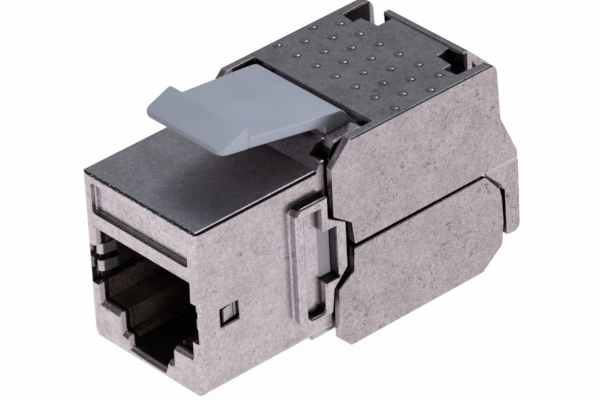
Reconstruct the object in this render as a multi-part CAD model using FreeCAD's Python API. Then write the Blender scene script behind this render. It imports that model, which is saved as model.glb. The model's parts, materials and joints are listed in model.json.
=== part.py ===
import FreeCAD, Part
import math
import os

from FreeCAD import Vector

# A shielded keystone jack: a die-cast front housing with the plug port, a plastic
# latch that snaps it into a panel, and two die-cast covers that open like jaws over
# the wire terminals behind it.
#
# Millimetres. X runs across the jack, Y from the port towards the cable, Z up.
# Heights below are measured from the underside of the front housing and depths from
# its front face. The part's own origin is the centre of the port's mouth.

# Plug port, with the two steps of the plug's latch below it
port_width = 12.1
port_bottom = 3.55
port_height = 7.5
step_width = 6.9
step_bottom = 1.65
keyway_width = 5.0
keyway_bottom = 0.55
keyway_length = 9.0
port_bevel = 0.34
port_top = port_bottom + port_height

# Walls of the front housing, and the insert's wall beside the port
front_wall = 1.1
side_wall = 0.9
roof_wall = 1.1
floor_wall = 1.1
insert_side = 0.3

# Label recess over the port, left blank
label_ledge = 1.5
label_height = 3.05
label_margin = 0.8
label_side = 1.15
label_depth = 0.5
label_radius = 0.35
label_bottom = port_top + label_ledge

# Panel seat: the latch's ridge and the catch in front of the panel, the ears behind it
latch_ridge_depth = 8.4
panel_gap = 1.8
ear_length = 3.65
ear_setback = 0.6
ear_front = latch_ridge_depth + panel_gap
ear_rear = ear_front + ear_length

# Outside of the front housing
front_width = port_width + 2 * (side_wall + insert_side)
front_height = label_bottom + label_height + label_margin
front_depth = ear_rear + ear_setback
front_corner_radius = 0.6
bottom_edge_radius = 0.9
top_edge_radius = 0.3
roof_underside = front_height - roof_wall

# Slots and windows of the two shield springs
spring_slot_rise = 1.75
spring_slot_height = 3.9
spring_slot_depth = 9.0
spring_slot_skin = 0.35
snap_window_front = 2.2
snap_window_length = 2.15
snap_window_rise = 0.8
snap_window_height = 1.85
spring_slot_bottom = port_bottom + spring_slot_rise
spring_slot_outer = front_width / 2 - spring_slot_skin
snap_window_bottom = spring_slot_bottom + snap_window_rise

# Ramp behind the housing's roof, and the catch and shoulder under its floor
ramp_start = 1.0
ramp_rise = 1.6
ramp_edge_rise = 0.6
ramp_lip = 0.8
catch_lead = 0.1
catch_length = 2.0
catch_depth = 1.2
catch_width = 10.0
shoulder_length = 2.05
shoulder_depth = 0.5
ramp_foot = front_depth - ramp_start
ramp_rear = ramp_foot + ramp_rise + ramp_lip
catch_rear = latch_ridge_depth + catch_lead

# Panel latch and its moulded root behind the ramp
root_gap = 0.45
root_lift = 0.2
latch_root_radius = 1.3
latch_thickness = 1.05
latch_rise = 1.34
latch_side_gap = 0.2
latch_neck_width = 8.4
latch_tab_width = 9.9
latch_tab_length = 3.1
latch_ridge_rise = 1.11
latch_tab_drop = 1.15
latch_tip_thickness = 0.45
latch_corner_radius = 0.6
saddle_clearance = 0.06
latch_root_depth = ramp_rear + root_gap + latch_root_radius

# Neck between the front housing and the covers
neck_inset = 0.45
neck_wall = 1.1
neck_lap = 1.55
neck_lift = 0.1
neck_tail = 0.5
neck_floor = 1.0
neck_nose = 0.5
land_wall = 0.45
land_step = 0.9
land_chamfer = 0.8
neck_width = front_width - 2 * neck_inset
neck_inner = neck_width - 2 * neck_wall
neck_front = front_depth - neck_lap
neck_rear = latch_root_depth + latch_root_radius + neck_tail
neck_top = front_height + ramp_rise + neck_lift
latch_root_height = neck_top + root_lift
latch_root_width = neck_inner - 2 * latch_side_gap
latch_ridge_height = latch_root_height + latch_root_radius + latch_rise + latch_ridge_rise

# Hinge studs of the two covers
upper_hinge_setback = 2.05
upper_hinge_drop = 1.2
lower_hinge_setback = 2.15
lower_hinge_height = 2.4
stud_radius = 0.75
stud_clearance = 0.05
stud_end_gap = 0.05
upper_hinge_depth = front_depth + upper_hinge_setback
upper_hinge_height = neck_top - upper_hinge_drop
lower_hinge_depth = front_depth + lower_hinge_setback

# Shells of the two covers
cover_side_gap = 0.15
cover_wall = 0.75
cover_plate = 0.85
cover_lap = 0.03
cover_lift = 0.54
cover_drop = 1.85
cover_width = front_width + 2 * (cover_side_gap + cover_wall)
cover_inner = cover_width - 2 * cover_wall
cover_front = front_depth - cover_lap
cover_top = neck_top + cover_lift
cover_bottom = -cover_drop
cover_ceiling = cover_top - cover_plate

# Seam between the covers, and the jaws that their front ends make round the ears
seam_drop = 0.495
seam_gap = 0.2
seam_corner = 0.35
front_chamfer = 2.1
upper_jaw_lip = 3.85
upper_jaw_heel = 2.43
upper_jaw_lean = 0.1
lower_jaw_setback = 2.04
lower_jaw_heel = 2.36
lower_jaw_lip = 3.5
lower_jaw_lean = 0.23
keel_rise = 1.25
keel_front = 0.1
keel_length = 1.35
seam_height = (cover_top + cover_bottom) / 2 - seam_drop

# Raised ears beside the panel seat, each with a tongue that reaches between the jaws
ear_thickness = 0.9
ear_bottom = 2.4
ear_drop = 2.2
ear_chamfer = 0.55
ear_rib_front = 0.95
ear_rib_rear = 0.73
ear_rib_bottom = 0.45
ear_rib_top = 1.0
ear_slot_radius = 0.5
ear_slot_floor = 0.1
tongue_reach = 1.9
tongue_over_seam = 2.9
tongue_under_seam = 1.6
tongue_rise = 1.1
tongue_fall = 1.6
window_inset = 1.35
window_length = 1.56
window_over_seam = 3.0
window_under_seam = 2.15
ear_top = front_height - ear_drop
window_front = front_depth - window_inset
window_top = seam_height + window_over_seam
window_bottom = seam_height - window_under_seam

# Port insert
insert_clearance = 0.05
insert_back_wall = 0.9
insert_port_clearance = 0.02
comb_slot_width = 0.62
comb_slot_lead = 1.3
comb_slot_rise = 1.8
insert_rear = neck_front - insert_clearance
comb_slot_top = port_top + comb_slot_rise

# Contact springs of the port
contact_count = 8
contact_pitch = 1.02
contact_width = 0.36
contact_thickness = 0.3
contact_bend = 3.5
contact_bend_radius = 0.7
contact_end_gap = 1.95
contact_end_drop = 1.65
contact_tail = 0.45
contact_height = comb_slot_top - contact_thickness
contact_bend_depth = front_wall + contact_bend
contact_end_depth = insert_rear - contact_end_gap
contact_end_height = port_top - contact_end_drop

# Circuit board
board_gap = 0.1
board_side_gap = 0.9
board_edge_gap = 0.3
board_floor_gap = 0.4
board_thickness = 1.2
board_hole_radius = 0.34
board_width = neck_inner - 2 * board_side_gap
board_front = neck_front + board_gap
board_rear = board_front + board_thickness
board_bottom = floor_wall + board_floor_gap
board_top = roof_underside - board_edge_gap

# Wire pressers under the covers, and the covers' plates over them
plate_gap = 0.35
presser_inset = 0.25
lower_presser_gap = 1.2
lower_plate_setback = 1.5
presser_side_gap = 0.4
presser_room = 1.8
presser_gap = 0.35
presser_tail = 0.1
presser_rib_width = 0.8
presser_rib_height = 0.5
presser_rib_inset = 0.4
plate_front = neck_rear + plate_gap
lower_plate_front = lower_hinge_depth + lower_plate_setback
presser_width = neck_inner - 2 * presser_side_gap
presser_front = plate_front + presser_inset
lower_presser_front = neck_rear + lower_presser_gap

# Terminal block and its insulation-displacement contacts
block_side_gap = 0.1
block_board_gap = 0.05
block_core_half = 4.0
block_tail = 2.3
block_foot = 1.0
tower_lead = 1.4
post_width = 0.7
barb_stand = 0.28
barb_play = 0.04
saddle_wall = 0.25
saddle_drop = 0.6
blade_setback = 1.2
blade_pitch = 2.5
blades_per_row = 4
blade_row_height = 2.2
blade_width = 1.7
blade_thickness = 0.4
blade_tip_gap = 0.4
blade_slot = 0.32
blade_slot_depth = 2.6
blade_mouth = 0.6
blade_leg_width = 0.5
blade_leg_height = 0.36
blade_tail = 0.1
blade_play = 0.05
blade_depth = presser_front + blade_setback
block_rear = blade_depth + block_tail
presser_rear = block_rear - presser_tail
tower_reach = seam_height - cover_bottom - cover_plate - presser_room

# Wire manager
manager_length = 8.6
manager_side_gap = 0.7
manager_step = 0.5
manager_chamfer = 1.6
manager_bore = 4.0
manager_front_wall = 1.5
manager_groove_width = 1.3
manager_groove_depth = 1.4
manager_groove_stop = 2.0
manager_slot_setback = 2.5
manager_slot_length = 2.4
manager_rear = block_rear + manager_length
manager_width = cover_inner - 2 * manager_side_gap
manager_height = 2 * (tower_reach - manager_step)

# Rear ends of the covers: hood, notches, legs and cable entry
rear_room = 3.55
rear_wall = 0.9
rear_setback = 2.15
rear_lean = 0.3
rear_shoulder_drop = 5.79
rear_bulge = 0.9
leg_thickness = 1.65
leg_bottom = 0.77
leg_toe_radius = 1.2
leg_proud = 0.1
leg_ledge = 0.05
chevron_length = 2.2
chevron_rise = 1.6
chevron_heel = 2.4
chevron_step = 0.5
leg_clearance = 0.15
heel_run = 2.75
heel_tuck = 0.22
hood_width = 10.0
hood_flat = 0.65
hood_slope = 2.0
hood_tail = 0.45
hood_cheek = 0.08
hood_lip = 0.8
notch_length = 6.05
notch_gap = 0.68
notch_edge = 0.05
notch_corner = 0.5
notch_neck_width = 6.8
notch_side_front = 5.15
notch_side_rear = 3.15
cable_radius = 4.5
cable_play = 0.2
part_length = manager_rear + rear_room
leg_front = part_length - leg_thickness
rear_shoulder = cover_top - rear_shoulder_drop
notch_front = part_length - notch_length

# Raised dots of the upper cover
dot_radius = 0.38
dot_taper = 0.52
dot_height = 0.1
dot_sides = 12
dot_pitch_across = 2.47
dot_pitch_along = 2.05
dot_margin_front = 2.65
dot_margin_side = 0.5
dot_first_row = plate_front + dot_margin_front

# Shield springs
spring_thickness = 0.22
spring_margin = 0.08
spring_tongue_height = 1.0
spring_tongue_gap = 0.7
spring_bow = 0.33
spring_bow_length = 1.6
spring_loop = 0.45
spring_relief = 0.45
spring_nose_depth = 0.45
spring_nose_length = 1.2
spring_barb_out = 0.3
spring_barb_margin = 0.3
spring_bulge = port_width / 2 - spring_bow

origin_height = port_bottom + port_height / 2


def box(x0, x1, y0, y1, z0, z1):
    return Part.makeBox(x1 - x0, y1 - y0, z1 - z0, Vector(x0, y0, z0))


def outline(corners):
    """Closed path of straight runs; a corner with a third number is rounded by it."""
    points = [Vector(c[0], c[1], 0) for c in corners]
    edges = []
    ends = []
    for i, point in enumerate(points):
        radius = corners[i][2] if len(corners[i]) > 2 else 0
        before = points[i - 1] - point
        after = points[(i + 1) % len(points)] - point
        if radius <= 0:
            ends.append((point, None, point))
            continue
        shortest = min(before.Length, after.Length)
        before.normalize()
        after.normalize()
        half = before.getAngle(after) / 2
        reach = min(radius / math.tan(half), 0.48 * shortest)
        radius = reach * math.tan(half)
        bisector = before + after
        bisector.normalize()
        middle = point + bisector * (radius / math.sin(half) - radius)
        ends.append((point + before * reach, middle, point + after * reach))
    for i, (start, middle, end) in enumerate(ends):
        if middle is not None:
            edges.append(Part.Arc(start, middle, end).toShape())
        following = ends[(i + 1) % len(ends)][0]
        if (following - end).Length > 1e-6:
            edges.append(Part.LineSegment(end, following).toShape())
    return Part.Wire(edges)


def across(corners, x0, x1):
    """Side outline in depth and height, carried across from x0 to x1."""
    return carried_across(Part.Face(outline(corners)), x0, x1)


def carried_across(face, x0, x1):
    solid = face.extrude(Vector(0, 0, x1 - x0))
    turn = FreeCAD.Rotation(Vector(0, 1, 0), Vector(0, 0, 1), Vector(1, 0, 0), "XYZ")
    solid.Placement = FreeCAD.Placement(Vector(x0, 0, 0), turn)
    return solid


def along(corners, y0, y1):
    """Front outline in width and height, carried back from y0 to y1."""
    face = Part.Face(outline(corners))
    solid = face.extrude(Vector(0, 0, y0 - y1))
    solid.rotate(Vector(0, 0, 0), Vector(1, 0, 0), 90)
    solid.translate(Vector(0, y0, 0))
    return solid


def upright(corners, z0, z1):
    """Plan outline in width and depth, carried up from z0 to z1."""
    face = Part.Face(outline(corners))
    face.translate(Vector(0, 0, z0))
    return face.extrude(Vector(0, 0, z1 - z0))


def both_sides(solid):
    return solid.fuse(solid.mirror(Vector(0, 0, 0), Vector(1, 0, 0)))


def mirrored(solid):
    return solid.mirror(Vector(0, 0, 0), Vector(1, 0, 0))


def shaft(radius, x0, x1, depth, height):
    return Part.makeCylinder(radius, x1 - x0, Vector(x0, depth, height), Vector(1, 0, 0))


def rectangle(width, bottom, top, radius=0):
    half = width / 2
    return [(-half, bottom, radius), (half, bottom, radius), (half, top, radius), (-half, top, radius)]


def stepped_port(grow=0.0):
    """Port outline seen from the front: the plug's body and the two steps of its latch."""
    top = port_bottom + port_height + grow
    widths = [port_width, step_width, keyway_width]
    floors = [port_bottom, step_bottom, keyway_bottom]
    corners = [(-port_width / 2 - grow, top), (-port_width / 2 - grow, port_bottom - grow)]
    for wide, narrow, floor, lower in zip(widths, widths[1:], floors, floors[1:]):
        corners.append((-narrow / 2 - grow, floor - grow))
        corners.append((-narrow / 2 - grow, lower - grow))
    return corners + [(-x, z) for x, z in reversed(corners)]


def front_block():
    half = front_width / 2
    profile = [
        (-half, 0, bottom_edge_radius),
        (half, 0, bottom_edge_radius),
        (half, front_height, top_edge_radius),
        (-half, front_height, top_edge_radius),
    ]
    plan = [
        (-half, 0, front_corner_radius),
        (half, 0, front_corner_radius),
        (half, front_depth),
        (-half, front_depth),
    ]
    return along(profile, 0, front_depth).common(upright(plan, -1, front_height + 1))


def roof_ramp():
    """The roof turns up at 45 degrees behind the panel seat, higher between the neck walls."""
    middle = across([
        (ramp_foot, roof_underside),
        (ramp_foot, front_height),
        (ramp_foot + ramp_rise, front_height + ramp_rise),
        (ramp_rear, front_height + ramp_rise),
        (ramp_rear, roof_underside + ramp_rise),
        (front_depth, roof_underside),
    ], -neck_inner / 2, neck_inner / 2)
    edge = across([
        (ramp_foot, roof_underside),
        (ramp_foot, front_height),
        (ramp_foot + ramp_edge_rise, front_height + ramp_edge_rise),
        (front_depth, front_height + ramp_edge_rise),
        (front_depth, roof_underside),
    ], -front_width / 2, front_width / 2)
    return middle.fuse(edge)


def neck():
    outer = neck_width / 2
    hinge_land = upper_hinge_depth - stud_radius - land_wall
    wall = across([
        (neck_front, -shoulder_depth),
        (neck_front, roof_underside),
        (front_depth, roof_underside),
        (hinge_land, roof_underside + land_step),
        (hinge_land, neck_top - land_chamfer),
        (hinge_land + land_chamfer, neck_top, neck_nose),
        (neck_rear, neck_top, neck_nose),
        (neck_rear, -shoulder_depth, neck_nose),
    ], neck_inner / 2, outer)
    floor = box(-outer, outer, front_depth - shoulder_length, neck_rear, -shoulder_depth,
                -shoulder_depth + neck_floor)
    return both_sides(wall).fuse(floor)


def ear():
    """Raised ear on the right side, with its tongue towards the covers."""
    face = front_width / 2
    tongue_top = seam_height + tongue_over_seam
    tongue_bottom = seam_height - tongue_under_seam
    tip = ear_rear + tongue_reach
    return across([
        (ear_front, ear_bottom + ear_chamfer),
        (ear_front, ear_top - ear_chamfer),
        (ear_front + ear_chamfer, ear_top),
        (ear_rear, ear_top),
        (ear_rear, tongue_top + tongue_rise),
        (tip, tongue_top, 0.3),
        (tip, tongue_bottom),
        (tip - tongue_fall, tongue_bottom - tongue_fall),
        (ear_rear, ear_bottom, 0.3),
        (ear_front + ear_chamfer, ear_bottom),
    ], face - side_wall / 2, face + ear_thickness)


def ear_cuts():
    face = front_width / 2
    slot = across([
        (ear_front + ear_rib_front, ear_bottom + ear_rib_bottom, ear_slot_radius),
        (ear_front + ear_rib_front, ear_top - ear_rib_top, 0.2),
        (ear_rear - ear_rib_rear, ear_top - ear_rib_top, 0.2),
        (ear_rear - ear_rib_rear, ear_bottom + ear_rib_bottom, ear_slot_radius),
    ], face + ear_slot_floor, face + ear_thickness + 1)
    window = box(neck_inner / 2 - 1, face + ear_thickness + 1, window_front,
                 window_front + window_length, window_bottom, window_top)
    return slot.fuse(window)


def front_housing():
    body = front_block()
    body = body.fuse(roof_ramp())
    cavity = box(-front_width / 2 + side_wall, front_width / 2 - side_wall, front_wall, front_depth,
                 floor_wall, roof_underside)
    body = body.cut(cavity)
    body = body.fuse(neck())
    body = body.fuse(both_sides(ear()))
    catch = across([
        (catch_rear - catch_length, floor_wall / 2),
        (catch_rear - catch_length, 0),
        (catch_rear, -catch_depth),
        (catch_rear, floor_wall / 2),
    ], -catch_width / 2, catch_width / 2)
    body = body.fuse(catch)
    body = body.cut(both_sides(ear_cuts()))
    body = body.cut(along(stepped_port(), -1, front_wall + 1))
    keyway = box(-keyway_width / 2, keyway_width / 2, 0, keyway_length, keyway_bottom, port_bottom)
    body = body.cut(keyway)
    body = body.cut(port_bevels())
    label = rectangle(front_width - 2 * label_side, label_bottom, label_bottom + label_height, label_radius)
    body = body.cut(along(label, -1, label_depth))
    slot = box(0, spring_slot_outer, -1, spring_slot_depth, spring_slot_bottom,
               spring_slot_bottom + spring_slot_height)
    window = box(0, front_width, snap_window_front, snap_window_front + snap_window_length,
                 snap_window_bottom, snap_window_bottom + snap_window_height)
    body = body.cut(both_sides(slot.fuse(window)))
    for depth, height in hinge_places():
        hole = shaft(stud_radius + stud_clearance, -neck_width, neck_width, depth, height)
        body = body.cut(hole)
    return body.removeSplitter()


def port_bevels():
    """Slanted front edges of the three floors of the port."""
    cuts = []
    floors = [(port_width, port_bottom), (step_width, step_bottom), (keyway_width, keyway_bottom)]
    for width, floor in floors:
        drop = min(port_bevel, floor * 0.6)
        slant = [(-0.1, floor + 0.1), (-0.1, floor - drop), (0, floor - drop), (port_bevel, floor),
                 (port_bevel, floor + 0.1)]
        cuts.append(across(slant, -width / 2, width / 2))
    return cuts[0].fuse(cuts[1:])


def hinge_places():
    return [(upper_hinge_depth, upper_hinge_height), (lower_hinge_depth, lower_hinge_height)]


def latch_top(depth):
    """Height of the latch plate's upper face at a depth."""
    front = latch_ridge_depth
    slope = latch_rise / (latch_root_depth - front)
    return latch_root_height + latch_root_radius + (latch_root_depth - depth) * slope


def panel_latch():
    ridge = latch_ridge_depth
    root = latch_root_depth
    tip = ridge - latch_tab_length
    tip_height = latch_ridge_height - latch_tab_drop
    side = [
        (ridge - 0.6, latch_top(ridge - 0.6)),
        (root, latch_root_height + latch_root_radius),
        (root, latch_root_height + latch_root_radius - latch_thickness),
        (ridge - 0.6, latch_top(ridge - 0.6) - latch_thickness),
    ]
    plate = across(side, -latch_root_width, latch_root_width)
    plan = [
        (-latch_neck_width / 2, ridge - 0.7),
        (latch_neck_width / 2, ridge - 0.7),
        (latch_root_width / 2, root - 0.5, 0.4),
        (latch_root_width / 2, root + 0.1),
        (-latch_root_width / 2, root + 0.1),
        (-latch_root_width / 2, root - 0.5, 0.4),
    ]
    plate = plate.common(upright(plan, 0, latch_ridge_height + 1))
    knuckle = shaft(latch_root_radius, -latch_root_width / 2, latch_root_width / 2, root, latch_root_height)
    tab = across([
        (tip, tip_height, 0.15),
        (ridge, latch_ridge_height, 0.12),
        (ridge, latch_top(ridge) - latch_thickness, 0.2),
        (tip, tip_height - latch_tip_thickness, 0.15),
    ], -latch_tab_width / 2, latch_tab_width / 2)
    tab_plan = [
        (-latch_tab_width / 2, tip, latch_corner_radius),
        (latch_tab_width / 2, tip, latch_corner_radius),
        (latch_tab_width / 2, ridge + 1),
        (-latch_tab_width / 2, ridge + 1),
    ]
    tab = tab.common(upright(tab_plan, 0, latch_ridge_height + 1))
    return plate.fuse([knuckle, tab]).removeSplitter()


def row_places(count, pitch):
    return [(i - (count - 1) / 2) * pitch for i in range(count)]


def port_insert():
    half = front_width / 2 - side_wall - insert_clearance
    low = floor_wall + insert_clearance
    high = roof_underside - insert_clearance
    body = box(-half, half, front_wall + insert_clearance, insert_rear, low, high)
    back = insert_rear - insert_back_wall
    body = body.cut(along(stepped_port(-insert_port_clearance), 0, back))
    comb_front = contact_bend_depth - comb_slot_lead
    for x in row_places(contact_count, contact_pitch):
        half_slot = comb_slot_width / 2
        body = body.cut(box(x - half_slot, x + half_slot, comb_front, insert_rear + 1,
                            port_top - 1, comb_slot_top))
    spring_window = box(0, front_width, 0, spring_slot_depth + insert_clearance, spring_slot_bottom,
                        spring_slot_bottom + spring_slot_height)
    return body.cut(both_sides(spring_window)).removeSplitter()


def contact_edge(offset):
    """One long edge of a contact spring: tail, over the bend's top, middle and underside, to the tip."""
    radius = contact_bend_radius
    centre = Vector(contact_bend_depth, contact_height - radius, 0)
    tip = Vector(contact_end_depth, contact_end_height, 0)
    run = tip - centre
    last = math.atan2(run.y, run.x) - math.acos(radius / run.Length) + 2 * math.pi
    first = math.pi / 2
    spokes = [Vector(math.cos(turn), math.sin(turn), 0) for turn in (first, (first + last) / 2, last)]
    bend = [centre + spoke * (radius + offset) for spoke in spokes]
    tail = Vector(board_rear + contact_tail, contact_height + offset, 0)
    return [tail] + bend + [tip + spokes[2] * offset]


def contact_spring(x):
    """Gold spring wire: forward from the board over the port, round its bend, and back down into it."""
    outer = contact_edge(contact_thickness / 2)
    inner = contact_edge(-contact_thickness / 2)
    edges = []
    for tail, top, front, under, tip in (outer, inner):
        edges.append(Part.LineSegment(tail, top).toShape())
        edges.append(Part.Arc(top, front, under).toShape())
        edges.append(Part.LineSegment(under, tip).toShape())
    edges.append(Part.LineSegment(outer[0], inner[0]).toShape())
    edges.append(Part.LineSegment(outer[4], inner[4]).toShape())
    side = Part.Wire(Part.__sortEdges__(edges))
    return carried_across(Part.Face(side), x - contact_width / 2, x + contact_width / 2)


def polygon(sides, radius, x, y):
    """Corners of a regular polygon round a point, each written as a pair."""
    turns = [2 * math.pi * (k + 0.5) / sides for k in range(sides)]
    return [(x + radius * math.cos(turn), y + radius * math.sin(turn)) for turn in turns]


def circuit_board():
    board = box(-board_width / 2, board_width / 2, board_front, board_rear, board_bottom, board_top)
    places = [(x, contact_height) for x in row_places(contact_count, contact_pitch)]
    for x in row_places(blades_per_row, blade_pitch):
        places.append((x, seam_height + blade_row_height))
        places.append((x, seam_height - blade_row_height))
    holes = [along(polygon(8, board_hole_radius, x, z), board_front - 1, board_rear + 1) for x, z in places]
    return board.cut(holes)


def fork(x):
    """Upper terminal contact: a leg from the board and a plate with the slot that grips a wire."""
    leg_height = seam_height + blade_row_height
    leg_bottom_side = leg_height - blade_leg_height / 2
    leg = box(x - blade_leg_width / 2, x + blade_leg_width / 2, board_front - blade_tail,
              blade_depth + blade_thickness, leg_bottom_side, leg_bottom_side + blade_leg_height)
    tip = seam_height + tower_reach - blade_tip_gap
    half = blade_width / 2
    plate = along([
        (x - half, leg_bottom_side),
        (x + half, leg_bottom_side),
        (x + half, tip, 0.3),
        (x + blade_slot * 1.4, tip),
        (x + blade_slot / 2, tip - blade_mouth),
        (x + blade_slot / 2, tip - blade_slot_depth),
        (x - blade_slot / 2, tip - blade_slot_depth),
        (x - blade_slot / 2, tip - blade_mouth),
        (x - blade_slot * 1.4, tip),
        (x - half, tip, 0.3),
    ], blade_depth, blade_depth + blade_thickness)
    return leg.fuse(plate).removeSplitter()


def flipped(solid):
    """The same piece turned over about the seam between the covers."""
    return solid.mirror(Vector(0, 0, seam_height), Vector(0, 0, 1))


def terminal_row_cuts():
    """Slots in the upper half of the terminal block, for the forks and the wires over them."""
    cuts = []
    leg_height = seam_height + blade_row_height
    for x in row_places(blades_per_row, blade_pitch):
        width = blade_pitch - post_width
        cuts.append(box(x - width / 2, x + width / 2, blade_depth - tower_lead, block_rear + 1,
                        seam_height + block_core_half, seam_height + tower_reach + 1))
        half = blade_width / 2 + blade_play
        blade_rear = blade_depth + blade_thickness
        cuts.append(box(x - half, x + half, blade_depth - blade_play, blade_rear + blade_play,
                        leg_height - blade_leg_height, seam_height + tower_reach + 1))
        half = blade_leg_width / 2 + blade_play
        rise = blade_leg_height / 2 + blade_play
        cuts.append(box(x - half, x + half, board_rear, blade_rear, leg_height - rise, leg_height + rise))
    return cuts


def terminal_block():
    half = neck_inner / 2 - block_side_gap
    front = board_rear + block_board_gap
    core = box(-half, half, front, block_rear, seam_height - block_core_half, seam_height + block_core_half)
    tower = box(-half, half, blade_depth - tower_lead, block_rear, seam_height - tower_reach,
                seam_height + tower_reach)
    saddle_front = latch_root_depth - latch_root_radius - saddle_wall
    saddle_rear = latch_root_depth + latch_root_radius + saddle_wall
    saddle = box(-half, half, saddle_front, saddle_rear, seam_height,
                 latch_root_height - saddle_drop)
    foot = box(-half, half, front_depth + block_board_gap, front_depth + block_foot,
               -shoulder_depth + neck_floor, seam_height)
    block = core.fuse([tower, saddle, foot])
    arm_side = board_width / 2 + board_gap
    arm = box(arm_side, half, board_front, front + block_foot, window_bottom + barb_play,
              window_top - barb_play)
    barb = box(arm_side, neck_width / 2 + barb_stand, window_front + barb_play,
               window_front + window_length - barb_play, window_bottom + barb_play, window_top - barb_play)
    block = block.fuse(both_sides(arm.fuse(barb)))
    block = block.cut(shaft(latch_root_radius + saddle_clearance, -neck_width, neck_width,
                            latch_root_depth, latch_root_height))
    upper = terminal_row_cuts()
    block = block.cut(upper)
    block = block.cut([flipped(cut) for cut in upper])
    return block.removeSplitter()


def wire_manager():
    half_width = manager_width / 2
    half_height = manager_height / 2
    chamfer = manager_chamfer
    body = along([
        (-half_width, seam_height - half_height + chamfer),
        (-half_width + chamfer, seam_height - half_height),
        (half_width - chamfer, seam_height - half_height),
        (half_width, seam_height - half_height + chamfer),
        (half_width, seam_height + half_height - chamfer),
        (half_width - chamfer, seam_height + half_height),
        (-half_width + chamfer, seam_height + half_height),
        (-half_width, seam_height + half_height - chamfer),
    ], block_rear, manager_rear)
    bore_front = Vector(0, block_rear + manager_front_wall, seam_height)
    bore = Part.makeCylinder(manager_bore, manager_length, bore_front, Vector(0, 1, 0))
    body = body.cut(bore)
    top = seam_height + half_height
    cuts = []
    for x in row_places(blades_per_row, blade_pitch):
        width = manager_groove_width / 2
        cuts.append(box(x - width, x + width, block_rear - 1, manager_rear - manager_groove_stop,
                        top - manager_groove_depth, top + 1))
        slot_front = block_rear + manager_slot_setback
        slot_rear = slot_front + manager_slot_length
        cuts.append(box(x - width, x + width, slot_front, slot_rear, seam_height, top + 1))
    body = body.cut(cuts)
    body = body.cut([flipped(cut) for cut in cuts])
    return body.removeSplitter()


def presser(front, backing):
    """Plastic pad over the upper row: it fills up to the cover, and its ribs push wires into the forks."""
    bottom = seam_height + tower_reach + presser_gap
    pad = box(-presser_width / 2, presser_width / 2, front, presser_rear, bottom, backing)
    ribs = []
    rib_front = front + presser_rib_inset
    rib_rear = presser_rear - presser_rib_inset
    for x in row_places(blades_per_row, blade_pitch):
        ribs.append(box(x - presser_rib_width / 2, x + presser_rib_width / 2, rib_front, rib_rear,
                        bottom - presser_rib_height, bottom + presser_gap))
    return pad.fuse(ribs).removeSplitter()


def upper_presser():
    return presser(presser_front, cover_ceiling)


def lower_presser():
    return flipped(presser(lower_presser_front, 2 * seam_height - cover_bottom - cover_plate))


def upper_side():
    """Side outline of the upper cover: front chamfer, plate, rear shoulder, leg, jaw over the ear."""
    seam = seam_height + seam_gap / 2
    return [
        (cover_front, seam_height + upper_jaw_lip),
        (cover_front, cover_top - front_chamfer),
        (cover_front + front_chamfer, cover_top, 0.3),
        (part_length - rear_setback, cover_top, 1.1),
        (part_length - rear_setback + rear_lean, rear_shoulder),
        (part_length, seam_height + rear_bulge, 0.3),
        (part_length, leg_bottom, leg_toe_radius),
        (leg_front, leg_bottom, 0.2),
        (leg_front, seam_height - chevron_heel),
        (leg_front - chevron_step, seam_height - chevron_rise),
        (leg_front - chevron_length, seam),
        (cover_front + front_chamfer, seam, seam_corner),
        (cover_front + front_chamfer - upper_jaw_lean, seam_height + upper_jaw_heel),
    ]


def upper_room():
    """Space inside the upper cover, open towards the front and below."""
    rear = part_length - rear_setback - rear_wall
    return across([
        (cover_front - 1, leg_bottom - 1),
        (cover_front - 1, cover_top + 1),
        (plate_front, cover_top + 1),
        (plate_front, cover_ceiling),
        (rear, cover_ceiling, 0.3),
        (rear + rear_lean, rear_shoulder - seam_gap),
        (part_length - cover_plate, seam_height + rear_bulge - seam_gap),
        (part_length - cover_plate, leg_bottom - 1),
    ], -cover_inner / 2, cover_inner / 2)


def leg_pad():
    """Outer skin of the right leg: a little proud of the side below the seam, with a sloping ledge."""
    half = cover_width / 2
    seam = seam_height + seam_gap / 2
    skin = across(upper_side(), half - cover_wall / 2, half + leg_proud)
    below = along([
        (half - cover_wall, leg_bottom - 1),
        (half + leg_proud, leg_bottom - 1),
        (half + leg_proud, seam - leg_ledge),
        (half, seam),
        (half - cover_wall, seam),
    ], cover_front, part_length + 1)
    return skin.common(below)


def raised_dot(x, y):
    """Small dot on the plate, narrower at its top."""
    foot = outline(polygon(dot_sides, dot_radius, x, y))
    crown = outline(polygon(dot_sides, dot_radius * dot_taper, x, y))
    foot.translate(Vector(0, 0, cover_top))
    crown.translate(Vector(0, 0, cover_top + dot_height))
    return Part.makeLoft([foot, crown], True, True)


def raised_dots():
    """Staggered rows of dots from the plate's front to the notches."""
    per_row = int((cover_width - 2 * dot_margin_side) / dot_pitch_across) + 1
    rows = int((notch_front - dot_first_row) / dot_pitch_along) + 1
    dots = []
    for row in range(rows):
        for x in row_places(per_row - row % 2, dot_pitch_across):
            dots.append(raised_dot(x, dot_first_row + row * dot_pitch_along))
    return dots


def upper_cover():
    half = cover_width / 2
    shell = across(upper_side(), -half, half)
    shell = shell.cut(upper_room())
    shell = shell.fuse(cable_hood())
    shell = shell.cut(hood_notches())
    shell = shell.cut(cable_arch(cable_radius + cable_play))
    shell = shell.fuse(raised_dots())
    shell = shell.fuse(both_sides(leg_pad()))
    return shell.fuse(both_sides(stud(upper_hinge_depth, upper_hinge_height))).removeSplitter()


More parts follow.
